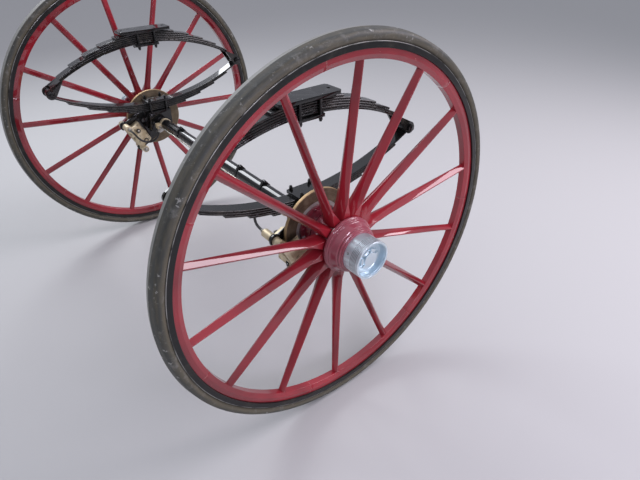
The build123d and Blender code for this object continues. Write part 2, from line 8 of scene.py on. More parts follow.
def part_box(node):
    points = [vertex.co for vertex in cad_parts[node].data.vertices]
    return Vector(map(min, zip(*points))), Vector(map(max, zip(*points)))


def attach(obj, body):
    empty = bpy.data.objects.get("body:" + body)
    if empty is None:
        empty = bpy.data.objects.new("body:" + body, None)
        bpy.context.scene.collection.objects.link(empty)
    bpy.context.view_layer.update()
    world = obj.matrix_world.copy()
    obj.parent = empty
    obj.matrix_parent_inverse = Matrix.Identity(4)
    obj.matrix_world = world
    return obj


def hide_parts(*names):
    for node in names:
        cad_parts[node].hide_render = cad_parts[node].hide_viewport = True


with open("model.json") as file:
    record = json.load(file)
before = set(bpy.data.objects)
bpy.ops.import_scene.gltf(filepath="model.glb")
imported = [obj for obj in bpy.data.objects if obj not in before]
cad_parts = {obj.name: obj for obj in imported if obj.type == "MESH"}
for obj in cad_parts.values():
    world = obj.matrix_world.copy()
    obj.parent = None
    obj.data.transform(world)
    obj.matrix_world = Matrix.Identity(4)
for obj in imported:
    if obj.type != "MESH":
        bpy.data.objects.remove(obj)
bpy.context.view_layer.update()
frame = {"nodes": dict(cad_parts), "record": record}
mm = 0.001
sides = {"left": 1, "right": -1}


def ringSize(node):
    # a turned piece's two ends, outward of the wheel's middle plane, and its radius, in millimetres
    low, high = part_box(node)
    return (low.y - wheelY) / mm, (high.y - wheelY) / mm, (high.z - low.z) / 2 / mm


# Places read from the frame: the axle line, the wheels and the springs
tyreLow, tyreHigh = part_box("tyre_left")
wheelY = (tyreLow.y + tyreHigh.y) / 2
axleZ = (tyreLow.z + tyreHigh.z) / 2
floorZ = tyreLow.z
tyreHalf, tyreRadius = ringSize("tyre_left")[1:]
felloeHalf, rimRadius = ringSize("felloe_left")[1:]
channelHalf, channelRadius = ringSize("tyre_channel_left")[1:]
naveBack, naveFront, naveRadius = ringSize("nave_left")
capEnd, capRadius = ringSize("hub_cap_left")[1:]
discFace, discRadius = ringSize("brake_disc_left")[1:]
saddleLow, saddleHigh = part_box("spring_saddle_left")
springY = (saddleLow.y + saddleHigh.y) / 2

# Forms that several functions below follow, in millimetres; the web is given by its radius.
# The tread has worn to a ridge a little inward of its middle, and falls away more on the outer side
tyreForm = {
    "tread": 18.0, "ridge": -3.0, "ridgeRounding": 1.5, "inner": {"drop": 2.6, "corner": 2.2},
    "outer": {"drop": 5.0, "corner": 7.0}, "neck": 9.0, "foot": 3.0, "footRise": 1.6, "seat": 0.2,
}
channelForm = {"web": 524.1, "flange": 3.0, "lipRounding": 1.1, "overRim": 0.1}
felloeForm = {"inner": 494.0, "flat": 10.0, "bevel": 12.0, "seams": 7, "seamHalf": 0.9, "seamDepth": 0.7}
capForm = {
    "wall": 6.0, "recess": 24.0, "lip": 2.0, "rounding": 1.2, "spigot": 50.0, "floorRing": 36.0,
    "ringBehindLip": 5.0, "firstGroove": 79.0, "pitch": 4.6, "grooves": 5, "grooveHalf": 0.8,
    "grooveDepth": 1.5,
}


def newObject(name, data):
    # an object in the scene that holds a mesh, a curve, a lamp or the camera
    made = bpy.data.objects.new(name, data)
    bpy.context.scene.collection.objects.link(made)
    return made


print("camera")
shot = {
    "place": Vector((0.7933, 1.5759, 0.4206)),
    "toward": Vector((-0.522, -0.648, -0.555)),
    "up": Vector((-0.348, -0.432, 0.832)),
    "lens": 28.72,  # in millimetres, as is the sensor's width
    "sensor": 36.0,
    "farthest": 60.0,
}
cameraData = bpy.data.cameras.new("camera")
cameraData.sensor_width = shot["sensor"]
cameraData.lens = shot["lens"]
cameraData.clip_end = shot["farthest"]
camera = newObject("camera", cameraData)
back = -shot["toward"].normalized()
right = shot["up"].cross(back).normalized()
upward = back.cross(right)
turned = Matrix((right, upward, back)).transposed().to_4x4()
camera.matrix_world = Matrix.Translation(shot["place"]) @ turned
bpy.context.scene.camera = camera
bpy.context.scene.view_settings.view_transform = "Standard"


class Wire:
    # a node's output, so that shader maths is written as sums
    def __init__(self, nodes, socket):
        self.nodes = nodes
        self.socket = socket

    def calc(self, operation, left, right):
        return self.nodes.node("ShaderNodeMath", {"operation": operation}, {0: left, 1: right})

    def __add__(self, other):
        return self.calc("ADD", self, other)

    def __radd__(self, other):
        return self.calc("ADD", other, self)

    def __sub__(self, other):
        return self.calc("SUBTRACT", self, other)

    def __rsub__(self, other):
        return self.calc("SUBTRACT", other, self)

    def __mul__(self, other):
        return self.calc("MULTIPLY", self, other)

    def __rmul__(self, other):
        return self.calc("MULTIPLY", other, self)

    def __pow__(self, other):
        return self.calc("POWER", self, other)

    def __abs__(self):
        return self.calc("ABSOLUTE", self, 0.0)


class Nodes:
    # the nodes of a material or of the world, each made by the method below
    def __init__(self, tree):
        self.tree = tree

    def node(self, kind, settings, values, out=0):
        made = self.tree.nodes.new(kind)
        for key, value in settings.items():
            setattr(made, key, value)
        for key, value in values.items():
            if isinstance(value, Wire):
                self.tree.links.new(value.socket, made.inputs[key])
            else:
                made.inputs[key].default_value = value
        return Wire(self, made.outputs[out])

    def parts(self, vector):
        split = self.node("ShaderNodeSeparateXYZ", {}, {0: vector}).socket.node
        return [Wire(self, split.outputs[axis]) for axis in range(3)]

    def step(self, value, low, high, start=0.0, end=1.0):
        # start below low, end above high, smooth between
        values = {0: value, 1: low, 2: high, 3: start, 4: end}
        return self.node("ShaderNodeMapRange", {"interpolation_type": "SMOOTHSTEP"}, values)


class Paint(Nodes):
    # a material: sockets that are the same all over are set here, the rest comes through put
    def __init__(self, name, **fixed):
        self.material = bpy.data.materials.new(name)
        self.material.use_nodes = True
        super().__init__(self.material.node_tree)
        self.shader = self.tree.nodes["Principled BSDF"]
        for socket, value in fixed.items():
            self.shader.inputs[socket.replace("_", " ")].default_value = value

    def put(self, **links):
        for socket, wire in links.items():
            self.tree.links.new(wire.socket, self.shader.inputs[socket.replace("_", " ")])

    def place(self):
        return self.node("ShaderNodeTexCoord", {}, {}, out="Object")

    def noise(self, scale, detail=3.0, roughness=0.55, vector=None):
        values = {"Vector": vector or self.place(), "Scale": scale, "Detail": detail, "Roughness": roughness}
        return self.node("ShaderNodeTexNoise", {}, values)

    def rings(self, value, detail=3.0):
        # noise along one number, for lines that the lathe leaves
        values = {"W": value, "Scale": 1.0, "Detail": detail}
        return self.node("ShaderNodeTexNoise", {"noise_dimensions": "1D"}, values)

    def mix(self, factor, first, second):
        # inputs 6 and 7 and output 2 are the Mix node's colours
        colours = [c if isinstance(c, Wire) else (*c, 1.0) for c in (first, second)]
        values = {0: factor, 6: colours[0], 7: colours[1]}
        return self.node("ShaderNodeMix", {"data_type": "RGBA"}, values, out=2)

    def bump(self, height, distance, strength):
        values = {"Strength": strength, "Distance": distance, "Height": height}
        return self.node("ShaderNodeBump", {}, values)

    def offWhole(self, value):
        # how far a value is from the nearest whole number
        return abs(self.node("ShaderNodeMath", {"operation": "FRACT"}, {0: value + 0.5}) - 0.5)

    def fromAxle(self):
        # distance from the axle line and place along it, in millimetres, and the turn in radians
        x, y, z = self.parts(self.place())
        drop = z - axleZ
        turn = self.node("ShaderNodeMath", {"operation": "ARCTAN2"}, {0: drop, 1: x})
        return (x * x + drop * drop) ** 0.5 * (1 / mm), y * (1 / mm), turn

    def roundTheWheel(self, across, around):
        # coordinates that run round the wheel, so that wear follows the turning
        radius, along, turn = self.fromAxle()
        values = {0: turn * around, 1: radius * across, 2: along * across}
        return self.node("ShaderNodeCombineXYZ", {}, values)


def zone(base, shifts):
    # where wear starts and where it is full, from the radius or place that both are measured from
    return [base + shift for shift in shifts]


print("finishes")
enamel = {
    "deep": (0.165, 0.008, 0.014), "base": (0.310, 0.013, 0.024), "dust": (0.36, 0.19, 0.17),
    # the purplish colour below is a painted sky reflection
    "chip": (0.46, 0.22, 0.19), "paintedSkyMauve": (0.27, 0.10, 0.14), "dark": (0.085, 0.008, 0.022),
    "gloss": {"Coat_Weight": 1.0, "Coat_Roughness": 0.03, "Coat_IOR": 1.65, "Specular_IOR_Level": 0.1},
    "dusty": 0.07, "chipped": 0.75, "seamChipped": 0.45,
    "seamZone": (0.0105, 0.0125), "fray": 0.02,  # shares of a felloe's length
}


def enamelPaint(name, seamTurn=None, paintedSheenOrRustBloom=0.0, shade=0.0):
    # glossy coach paint: deep red under a clear coat, with a little dust and a few chips.
    # A painted sky reflection tints it purplish by the given share, shade darkens it, and seamTurn is the
    # turn of one of the felloes' joints
    paint = Paint(name, **enamel["gloss"])
    tone = paint.step(paint.noise(5.0, 2.0), 0.3, 0.7)
    fine = paint.noise(60.0, 4.0, 0.6)
    dust = paint.step(paint.noise(14.0, 6.0, 0.65), 0.55, 0.8)
    colour = paint.mix(tone, enamel["deep"], enamel["base"])
    colour = paint.mix(dust * enamel["dusty"], colour, enamel["dust"])
    # painted reflection: a purplish tint mixed into the colour stands in for the sky reflecting on the nave
    if paintedSheenOrRustBloom:
        colour = paint.mix(paintedSheenOrRustBloom * (0.6 + 0.4 * tone), colour, enamel["paintedSkyMauve"])
    if shade:
        colour = paint.mix(shade * (0.8 + 0.2 * tone), colour, enamel["dark"])
    patches = paint.step(paint.noise(9.0, 1.0), 0.52, 0.62)
    nick = paint.step(paint.noise(110.0, 3.0), 0.72, 0.74) * patches
    if seamTurn is not None:
        turn = paint.fromAxle()[2]
        share = (turn - seamTurn) * (felloeForm["seams"] / math.tau) + felloeForm["seams"]
        frayed = paint.offWhole(share) + enamel["fray"] * paint.noise(160.0, 3.0)
        nick = nick + enamel["seamChipped"] * paint.step(frayed, *enamel["seamZone"], 1.0, 0.0)
    colour = paint.mix(nick * enamel["chipped"], colour, enamel["chip"])
    paint.put(Base_Color=colour, Roughness=0.32 + 0.14 * fine + 0.25 * dust)
    paint.put(Normal=paint.bump(fine + 2.0 * paint.noise(22.0, 1.0), 0.00008, 0.5))
    return paint.material


black = {
    "base": (0.0045, 0.0046, 0.0046), "dust": (0.12, 0.11, 0.09), "rubbed": (0.18, 0.155, 0.12),
    "gloss": {"Coat_Weight": 1.0, "Coat_Roughness": 0.035, "Coat_IOR": 1.48, "Specular_IOR_Level": 0.1},
    "dusty": 0.07, "edgeZone": (19.5 * mm, 21.5 * mm),  # from the middle line of a spring's leaves
}


def blackPaint(name, wear=0.0):
    # black gloss on the springs and ironwork, with brownish rubbing along the leaves' edges
    paint = Paint(name, **black["gloss"])
    dust = paint.step(paint.noise(18.0, 6.0, 0.65), 0.5, 0.85)
    fine = paint.noise(120.0, 4.0)
    colour = paint.mix(dust * black["dusty"], black["base"], black["dust"])
    if wear:
        y = paint.parts(paint.place())[1]
        edge = paint.step(abs(abs(y) - springY), *black["edgeZone"])
        rubbed = edge * paint.step(paint.noise(26.0, 5.0, 0.6), 0.42, 0.68)
        colour = paint.mix(rubbed * wear, colour, black["rubbed"])
    paint.put(Base_Color=colour, Roughness=0.26 + 0.3 * dust)
    paint.put(Normal=paint.bump(fine + 2.0 * paint.noise(30.0, 2.0), 0.00005, 0.4))
    return paint.material


rubber = {
    "tread": (0.300, 0.300, 0.280), "side": (0.050, 0.053, 0.048), "olive": (0.115, 0.100, 0.066),
    "scuff": (0.42, 0.42, 0.39), "grime": (0.045, 0.039, 0.026),
    # zones in millimetres: from the tread's radius, then from its ridge, then from the channel's lip
    "wornZone": (-5.0, -2.6), "lowZone": (-24.0, -10.0), "scuffZone": (-26.0, -8.0),
    "ridgeZone": (-0.2, 1.8), "grimeZone": (2.0, 7.0),
}


def rubberPaint(name):
    # solid rubber: the tread's inner half worn pale, dark shoulder with pale scuffs, olive-brown side walls
    paint = Paint(name, Specular_IOR_Level=0.3)
    radius, along = paint.fromAxle()[:2]
    swirl = paint.noise(1.0, 5.0, 0.6, vector=paint.roundTheWheel(0.09, 9.0))
    mottle = paint.noise(38.0, 6.0, 0.7)
    frayed = abs(along) - wheelY / mm + 1.6 * mottle
    inward = paint.step(frayed, *zone(tyreForm["ridge"], rubber["ridgeZone"]), 1.0, 0.10)
    worn = paint.step(radius, *zone(tyreRadius, rubber["wornZone"])) * inward
    low = paint.step(radius, *zone(tyreRadius, rubber["lowZone"]), 1.0, 0.0)
    grime = paint.step(radius, *zone(channelRadius, rubber["grimeZone"]), 0.8, 0.0)
    colour = paint.mix(paint.step(swirl, 0.35, 0.7) * 0.6, rubber["side"], rubber["olive"])
    colour = paint.mix(low * 0.65, colour, rubber["olive"])
    colour = paint.mix(grime, colour, rubber["grime"])
    colour = paint.mix(worn * (0.6 + 0.4 * mottle), colour, rubber["tread"])
    colour = paint.mix(paint.step(mottle, 0.52, 0.74) * 0.35, colour, rubber["tread"])
    patches = paint.step(paint.noise(11.0, 2.0), 0.42, 0.58)
    scuff = paint.step(paint.noise(85.0, 4.0, 0.6), 0.60, 0.68) * patches
    scuff = scuff * paint.step(radius, *zone(tyreRadius, rubber["scuffZone"]))
    streak = paint.noise(1.0, 4.0, 0.65, vector=paint.roundTheWheel(0.8, 14.0))
    colour = paint.mix(paint.step(streak, 0.60, 0.72) * worn * 0.5, colour, rubber["scuff"])
    colour = paint.mix(scuff * 0.7, colour, rubber["scuff"])
    paint.put(Base_Color=colour, Roughness=0.40 + 0.3 * mottle + 0.06 * worn)
    grain = paint.noise(420.0, 3.0, 0.6)
    paint.put(Normal=paint.bump(mottle * 0.7 + grain * 0.25 - scuff * 0.8, 0.0006, 0.8))
    return paint.material


channel = {
    "black": (0.007, 0.0075, 0.0085), "dust": (0.16, 0.14, 0.10), "bareMetalAndHighlight": (0.46, 0.46, 0.43),
    "gloss": {"Coat_Weight": 0.35, "Coat_Roughness": 0.12, "Specular_IOR_Level": 0.15},
    "lipZone": (-2.6, -0.7),  # millimetres from the lip's radius
}


def channelPaint(name):
    # black channel whose lip has worn to grey metal, its pale band partly a painted highlight along the lip
    paint = Paint(name, **channel["gloss"])
    radius = paint.fromAxle()[0]
    lip = paint.step(radius, *zone(channelRadius, channel["lipZone"]))
    # the pale lip is partly worn metal and partly a painted highlight standing in for light along the lip
    wornLipAndHighlight = lip * paint.step(paint.noise(24.0, 5.0), 0.30, 0.60)
    dust = paint.step(paint.noise(17.0, 6.0, 0.65), 0.5, 0.8)
    colour = paint.mix(0.03 + dust * 0.22, channel["black"], channel["dust"])
    colour = paint.mix(wornLipAndHighlight * 0.85, colour, channel["bareMetalAndHighlight"])
    paint.put(Base_Color=colour, Metallic=wornLipAndHighlight * 0.7, Roughness=0.30 + 0.2 * dust)
    paint.put(Normal=paint.bump(paint.noise(140.0, 4.0), 0.0002, 0.6))
    return paint.material


aluminium = {
    "clean": (0.72, 0.82, 0.88), "haze": (0.58, 0.66, 0.68), "bright": (0.86, 0.94, 0.97),
    # the first colour below is the painted shade in the cap's grooves
    "groove": (0.16, 0.17, 0.16), "grooveShadeZone": (0.13, 0.22),  # shares of the grooves' pitch
    "skinZone": (-2.5, -1.5),  # millimetres from the cap's radius
}


def aluminiumPaint(name):
    # turned aluminium, bright along the lathe's lines, with a light haze of oxide and painted shade in its
    # grooves
    paint = Paint(name, Specular_IOR_Level=0.5, Metallic=1.0)
    radius, along = paint.fromAxle()[:2]
    lines = paint.rings(along * 0.9 + radius * 0.7, 4.0)
    haze = paint.step(paint.noise(26.0, 5.0, 0.65), 0.45, 0.95)
    colour = paint.mix(haze * 0.20, aluminium["clean"], aluminium["haze"])
    colour = paint.mix(paint.step(lines, 0.35, 0.65) * 0.25, colour, aluminium["bright"])
    # painted shade: the cap's grooves are darkened where shade falls in them
    share = (abs(along) - wheelY / mm - capForm["firstGroove"]) * (1 / capForm["pitch"])
    middle = 0.5 * (capForm["grooves"] - 1)
    grooveShade = paint.step(paint.offWhole(share), *aluminium["grooveShadeZone"], 1.0, 0.0)
    grooveShade = grooveShade * paint.step(radius, *zone(capRadius, aluminium["skinZone"]))
    grooveShade = grooveShade * paint.step(abs(share - middle), middle + 0.3, middle + 0.6, 1.0, 0.0)
    colour = paint.mix(grooveShade * 0.75, colour, aluminium["groove"])
    paint.put(Base_Color=colour, Roughness=0.27 + 0.05 * haze + 0.10 * lines)
    paint.put(Normal=paint.bump(lines, 0.00006, 0.5))
    return paint.material


disc = {
    "brown": (0.112, 0.084, 0.054), "gold": (0.200, 0.152, 0.096), "dark": (0.085, 0.068, 0.047),
    "bright": (0.44, 0.37, 0.26), "hat": (0.50, 0.50, 0.48), "rim": (0.55, 0.38, 0.20),
    # millimetres: where the pads' track starts, then zones from it and from the disc's edge
    "track": 80.0, "trackZone": (-0.6, 0.6), "edgeZone": (-1.5, -0.4),
}


def discPaint(name):
    # cast disc: golden-brown rust where the pads sweep, a paler ring inside, an orange edge
    paint = Paint(name, Specular_IOR_Level=0.5)
    radius = paint.fromAxle()[0]
    scored = paint.rings(radius * 1.4)
    rust = paint.noise(34.0, 7.0, 0.68)
    paintedSheenOrRustBloom = paint.step(paint.noise(7.0, 3.0), 0.35, 0.7)
    swept = paint.mix(paint.step(rust, 0.35, 0.7), disc["brown"], disc["gold"])
    swept = paint.mix(paintedSheenOrRustBloom * 0.5, swept, disc["dark"])
    swept = paint.mix(paint.step(scored, 0.5, 0.75) * 0.35, swept, disc["bright"])
    hat = paint.step(radius, *zone(disc["track"], disc["trackZone"]), 1.0, 0.0)
    edge = paint.step(radius, *zone(discRadius, disc["edgeZone"]))
    colour = paint.mix(hat * 0.9, swept, disc["hat"])
    colour = paint.mix(edge * 0.75, colour, disc["rim"])
    metal = 0.75 - 0.5 * paint.step(rust, 0.45, 0.75)
    paint.put(Base_Color=colour, Metallic=metal, Roughness=0.40 + 0.3 * rust)
    paint.put(Normal=paint.bump(scored * 0.6 + rust * 0.6, 0.0003, 0.7))
    return paint.material


plated = {"pale": (0.76, 0.67, 0.47), "dull": (0.52, 0.41, 0.24), "stain": (0.10, 0.065, 0.03)}


def platedPaint(name):
    # cast iron under a yellowish zinc plating, dulled in clouds and stained in spots
    paint = Paint(name, Specular_IOR_Level=0.5)
    cloud = paint.noise(26.0, 6.0, 0.66)
    cast = paint.noise(190.0, 3.0, 0.6)
    spots = paint.step(paint.noise(48.0, 6.0), 0.54, 0.68)
    colour = paint.mix(paint.step(cloud, 0.35, 0.7), plated["pale"], plated["dull"])
    colour = paint.mix(spots * 0.75, colour, plated["stain"])
    metal = 0.40 - 0.3 * paint.step(cloud, 0.5, 0.75)
    paint.put(Base_Color=colour, Metallic=metal, Roughness=0.36 + 0.25 * cloud)
    paint.put(Normal=paint.bump(cast * 0.6 + cloud, 0.0004, 0.7))
    return paint.material


# small pieces: two colours that noise of one scale mixes, and the bump's depth in metres
plainLooks = {
    "pad_iron": {"name": "padIron", "first": (0.06, 0.05, 0.045), "second": (0.11, 0.07, 0.045),
                 "scale": 90.0, "roughness": 0.6, "metal": 0.2, "depth": 0.0006},
    "pipe_steel": {"name": "pipeSteel", "first": (0.46, 0.45, 0.41), "second": (0.30, 0.27, 0.22),
                   "scale": 70.0, "roughness": 0.28, "metal": 0.85, "depth": 0.0002},
    "hose_rubber": {"name": "hoseRubber", "first": (0.013, 0.013, 0.014), "second": (0.026, 0.024, 0.022),
                    "scale": 200.0, "roughness": 0.38, "metal": 0.0, "depth": 0.0002},
}


def plainPaint(look):
    paint = Paint(look["name"], Metallic=look["metal"])
    tone = paint.noise(look["scale"], 5.0, 0.62)
    colour = paint.mix(paint.step(tone, 0.35, 0.7), look["first"], look["second"])
    paint.put(Base_Color=colour, Roughness=look["roughness"] + 0.2 * tone)
    paint.put(Normal=paint.bump(tone, look["depth"], 0.7))
    return paint.material


finishes = {
    "burgundy_enamel": enamelPaint("burgundyEnamel"),
    "burgundy_enamel_iron": enamelPaint("burgundyEnamelIron", shade=0.75),
    "black_enamel": blackPaint("blackEnamel"),
    "tyre_rubber": rubberPaint("tyreRubber"),
    "channel_steel": channelPaint("channelSteel"),
    "turned_aluminium": aluminiumPaint("turnedAluminium"),
    "disc_iron": discPaint("discIron"),
    "plated_iron": platedPaint("platedIron"),
}
for slot, look in plainLooks.items():
    finishes[slot] = plainPaint(look)
springPaint = blackPaint("springEnamel", wear=0.15)


print("brake hoses")
hose = {"diameter": 8 * mm, "length": {"left": 218.6 * mm, "right": 211.6 * mm}}
# points as (forward, inward of the wheel's middle plane, above the axle line), in metres
hoseRoutes = {
    "left": [
        (0.1387, 0.195, -0.0075), (0.1387, 0.223, -0.0075), (0.137, 0.249, 0.0), (0.128, 0.266, 0.020),
        (0.108, 0.269, 0.042), (0.080, 0.262, 0.055), (0.053, 0.254, 0.052), (0.036, 0.2505, 0.034),
        (0.03125, 0.250, 0.009),
    ],
    "right": [
        (0.1387, 0.195, -0.0075), (0.1387, 0.223, -0.0075), (0.137, 0.249, -0.012), (0.128, 0.266, -0.030),
        (0.108, 0.269, -0.046), (0.080, 0.262, -0.056), (0.053, 0.254, -0.052), (0.036, 0.2505, -0.034),
        (0.03125, 0.250, -0.009),
    ],
}
# the nut as (radius, height), then the sleeve that comes out of it, with rings at shares of its length
ferrule = {"nut": (8.0, 6.0), "start": 5.0, "length": 12.0, "radius": 5.8, "rings": (0.3, 0.5, 0.7),
           "ringHalf": 1.0, "ringDepth": 0.7}


def finish(name, form, body, slot, replaced=(), material=None, crease=45):
    # a bmesh becomes a piece that rides on a body and shades smoothly up to its creases
    bmesh.ops.recalc_face_normals(form, faces=form.faces)
    mesh = bpy.data.meshes.new(name)
    form.to_mesh(mesh)
    form.free()
    for face in mesh.polygons:
        face.use_smooth = True
    mesh.set_sharp_from_angle(angle=math.radians(crease))
    mesh.materials.append(material or finishes[slot])
    piece = newObject(name, mesh)
    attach(piece, body)
    if replaced:
        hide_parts(*replaced)
    return piece


def bridge(form, low, high):
    # a closed band of faces between two rings with as many points
    for n in range(len(low)):
        m = (n + 1) % len(low)
        form.faces.new((low[n], low[m], high[m], high[n]))


def addTurned(form, origin, direction, outline, count=20):
    # rings of (along, radius) in millimetres round a line from origin; six to a ring makes a hexagon
    direction = direction.normalized()
    first = direction.orthogonal().normalized()
    second = direction.cross(first)
    turns = [math.tau * n / count for n in range(count)]
    rays = [math.cos(turn) * first + math.sin(turn) * second for turn in turns]
    loops = [[form.verts.new(origin + (along * direction + radius * ray) * mm) for ray in rays]
             for along, radius in outline]
    for low, high in zip(loops, loops[1:]):
        bridge(form, low, high)
    form.faces.new(loops[0][::-1])
    form.faces.new(loops[-1])


def hexHead(radius, height, chamfer=0.8):
    # a bolt's head or a nut, eased at its far edge
    return [(0, radius), (height - chamfer, radius), (height, radius - 1.2 * chamfer)]


def crimpedSleeve():
    # a ferrule's sleeve, whose rings are pressed in
    length, radius, half = ferrule["length"], ferrule["radius"], ferrule["ringHalf"]
    outline = [(0, radius * 0.9), (0.6, radius)]
    for share in ferrule["rings"]:
        at = length * share
        outline += [(at - half, radius), (at, radius - ferrule["ringDepth"]), (at + half, radius)]
    outline += [(length - 0.8, radius), (length, radius * 0.78)]
    return [(ferrule["start"] + along, size) for along, size in outline]


for sideName, side in sides.items():
    curve = bpy.data.curves.new(f"hose_{sideName}", "CURVE")
    curve.dimensions = "3D"
    curve.bevel_depth = hose["diameter"] / 2
    curve.bevel_resolution = 6
    curve.resolution_u = 24
    spline = curve.splines.new("NURBS")
    route = [Vector((forward, side * (wheelY - inward), axleZ + above))
             for forward, inward, above in hoseRoutes[sideName]]
    spline.points.add(len(route) - 1)
    for spot, point in zip(spline.points, route):
        spot.co = (*point, 1.0)
    spline.order_u = 3
    spline.use_endpoint_u = True
    curve.materials.append(finishes["hose_rubber"])
    hoseObject = newObject(f"hose_{sideName}", curve)
    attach(hoseObject, "axle")
    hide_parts(f"brake_hose_{sideName}")
    for endName, start, toward in (("caliper", route[0], route[1]), ("union", route[-1], route[-2])):
        form = bmesh.new()
        addTurned(form, start, toward - start, hexHead(*ferrule["nut"]), 6)
        addTurned(form, start, toward - start, crimpedSleeve())
        finish(f"hose_ferrule_{endName}_{sideName}", form, "axle", "pipe_steel")


# Outlines of turned pieces: points as (outward of the wheel's middle plane, radius, rounding), in millimetres


def bow(first, middle, last, count):
    # points on the circle through three points, the two ends among them, with no rounding
    (ax, ay), (bx, by), (cx, cy) = first, middle, last
    area = 2 * (ax * (by - cy) + bx * (cy - ay) + cx * (ay - by))
    squares = [x * x + y * y for x, y in (first, middle, last)]
    px = (squares[0] * (by - cy) + squares[1] * (cy - ay) + squares[2] * (ay - by)) / area
    py = (squares[0] * (cx - bx) + squares[1] * (ax - cx) + squares[2] * (bx - ax)) / area
    radius = math.hypot(ax - px, ay - py)
    start, half, end = (math.atan2(y - py, x - px) for x, y in (first, middle, last))
    sweep = (end - start) % math.tau
    if (half - start) % math.tau > sweep:
        sweep -= math.tau
    angles = [start + sweep * n / (count - 1) for n in range(count)]
    return [(px + radius * math.cos(a), py + radius * math.sin(a), 0) for a in angles]


def rounded(points, steps=4):
    # a closed outline of (x, y, rounding) with each corner eased, and a point beside each to hold the flats
    most, beside = 0.4, 1.2  # the share of a side that a corner may take, and the cut to the point beside it
    outline = []
    for index, (x, y, size) in enumerate(points):
        here = Vector((x, y))
        before = Vector(points[index - 1][:2]) - here
        after = Vector(points[(index + 1) % len(points)][:2]) - here
        if not size:
            outline.append(here)
            continue
        cut = min(size / math.tan(before.angle(after) / 2), most * before.length, most * after.length)
        start = here + before.normalized() * cut
        end = here + after.normalized() * cut
        outline.append(here + before.normalized() * cut * beside)
        for n in range(steps + 1):
            t = n / steps
            outline.append((1 - t) ** 2 * start + 2 * t * (1 - t) * here + t * t * end)
        outline.append(here + after.normalized() * cut * beside)
    return outline


def groove(at, radius, half, depth):
    return [(at - half, radius, 0.2), (at, radius - depth, 0.25), (at + half, radius, 0.2)]


def bead(at, radius, half, height):
    crown = bow((at - half * 0.8, radius), (at, radius + height), (at + half * 0.8, radius), 7)
    return [(at - half, radius, 0.3), *crown, (at + half, radius, 0.3)]


def tyreSide(shape):
    # from the channel's web out along one side wall to the tread's corner
    base = channelHalf - channelForm["flange"] - tyreForm["seat"]
    web = channelForm["web"] + tyreForm["seat"]
    foot = (base + tyreForm["foot"], channelRadius + tyreForm["footRise"])
    edge = (tyreForm["tread"], tyreRadius - shape["drop"])
    wall = bow(foot, (tyreHalf, channelRadius + tyreForm["neck"]), edge, 11)
    return [(base, web, 0), (base, channelRadius + 1.2, 0.6), (*wall[0][:2], 1.0), *wall[1:-1],
            (*edge, shape["corner"])]


def tyreOutline():
    inner = [(-along, radius, size) for along, radius, size in reversed(tyreSide(tyreForm["inner"]))]
    return [*tyreSide(tyreForm["outer"]), (tyreForm["ridge"], tyreRadius, tyreForm["ridgeRounding"]), *inner]


def channelOutline():
    half, lip = channelHalf, channelForm["lipRounding"]
    inside = half - channelForm["flange"]
    web = channelForm["web"]
    bottom = rimRadius + channelForm["overRim"]
    return [
        (-half, bottom, 0.4), (half, bottom, 0.4), (half, channelRadius, lip), (inside, channelRadius, lip),
        (inside, web, 0), (-inside, web, 0), (-inside, channelRadius, lip), (-half, channelRadius, lip),
    ]


def felloeOutline():
    inner, flat, bevel = felloeForm["inner"], felloeForm["flat"], felloeForm["bevel"]
    return [
        (-flat, inner, 1.4), (flat, inner, 1.4),
        (felloeHalf, inner + bevel, 1.6), (felloeHalf, rimRadius, 0.8),
        (-felloeHalf, rimRadius, 0.8), (-felloeHalf, inner + bevel, 1.6),
    ]


naveForm = {"bore": 20.2, "band": 72.0, "barrel": 46.0}


def naveOutline():
    bore, band = naveForm["bore"], naveForm["band"]
    return [
        (naveBack, bore, 0), (naveBack, naveForm["barrel"], 1.0), (-66, 58, 4.0), (-56, 68, 2.0),
        (-54, band, 0.8), (0, band, 0),  # the spokes stand on this band
        (0, 78.8, 1.2), (4, naveRadius, 2.6), (9.5, naveRadius, 2.2), (11.5, 80.6, 0.4),  # front collar
        *bead(13.6, 80.4, 1.7, 1.5), (15.8, 78.9, 0.4), (18.6, 78.4, 0.6),
        *groove(19.9, 77.9, 0.75, 1.3), *groove(22.2, 76.4, 0.75, 1.3),
        (24.4, 75.0, 0.8), (38.5, 69.2, 1.6), (40.5, 65.9, 0.8), (43.0, 65.2, 0.4),  # cone and its shoulder
        *bead(45.0, 64.9, 1.6, 1.2), (47.6, 61.2, 0.8), (naveFront, 60.2, 0.8), (naveFront, bore, 0),
    ]


def capOutline():
    mouth = capRadius - capForm["wall"]
    floorAt = capEnd - capForm["recess"]
    behind = floorAt - capForm["wall"]
    ring, mark = capEnd - capForm["ringBehindLip"], capForm["floorRing"]
    lines = []
    for number in range(capForm["grooves"]):
        at = capForm["firstGroove"] + number * capForm["pitch"]
        lines += groove(at, capRadius, capForm["grooveHalf"], capForm["grooveDepth"])
    return [
        (naveFront, capForm["spigot"], 0), (naveFront, capRadius, 0.6), *lines,
        (capEnd, capRadius, capForm["rounding"]), (capEnd, mouth, 0.9),
        (ring + 0.9, mouth - 0.2, 0.2), (ring, mouth + 1.1, 0.2), (ring - 0.9, mouth - 0.3, 0.2),
        (floorAt, mouth - capForm["lip"], 1.6),
        (floorAt, mark + 0.5, 0.2), (floorAt - 0.5, mark, 0.2), (floorAt, mark - 0.5, 0.2),
        (floorAt, 0, 0), (behind, 0, 0), (behind, capForm["spigot"], 0),
    ]


def wheelSpot(sideName, along, radius, turn):
    # a point outward of the wheel's middle plane, at a radius and a turn above the forward direction
    outward = sides[sideName] * (wheelY + along * mm)
    return Vector((radius * mm * math.cos(turn), outward, axleZ + radius * mm * math.sin(turn)))


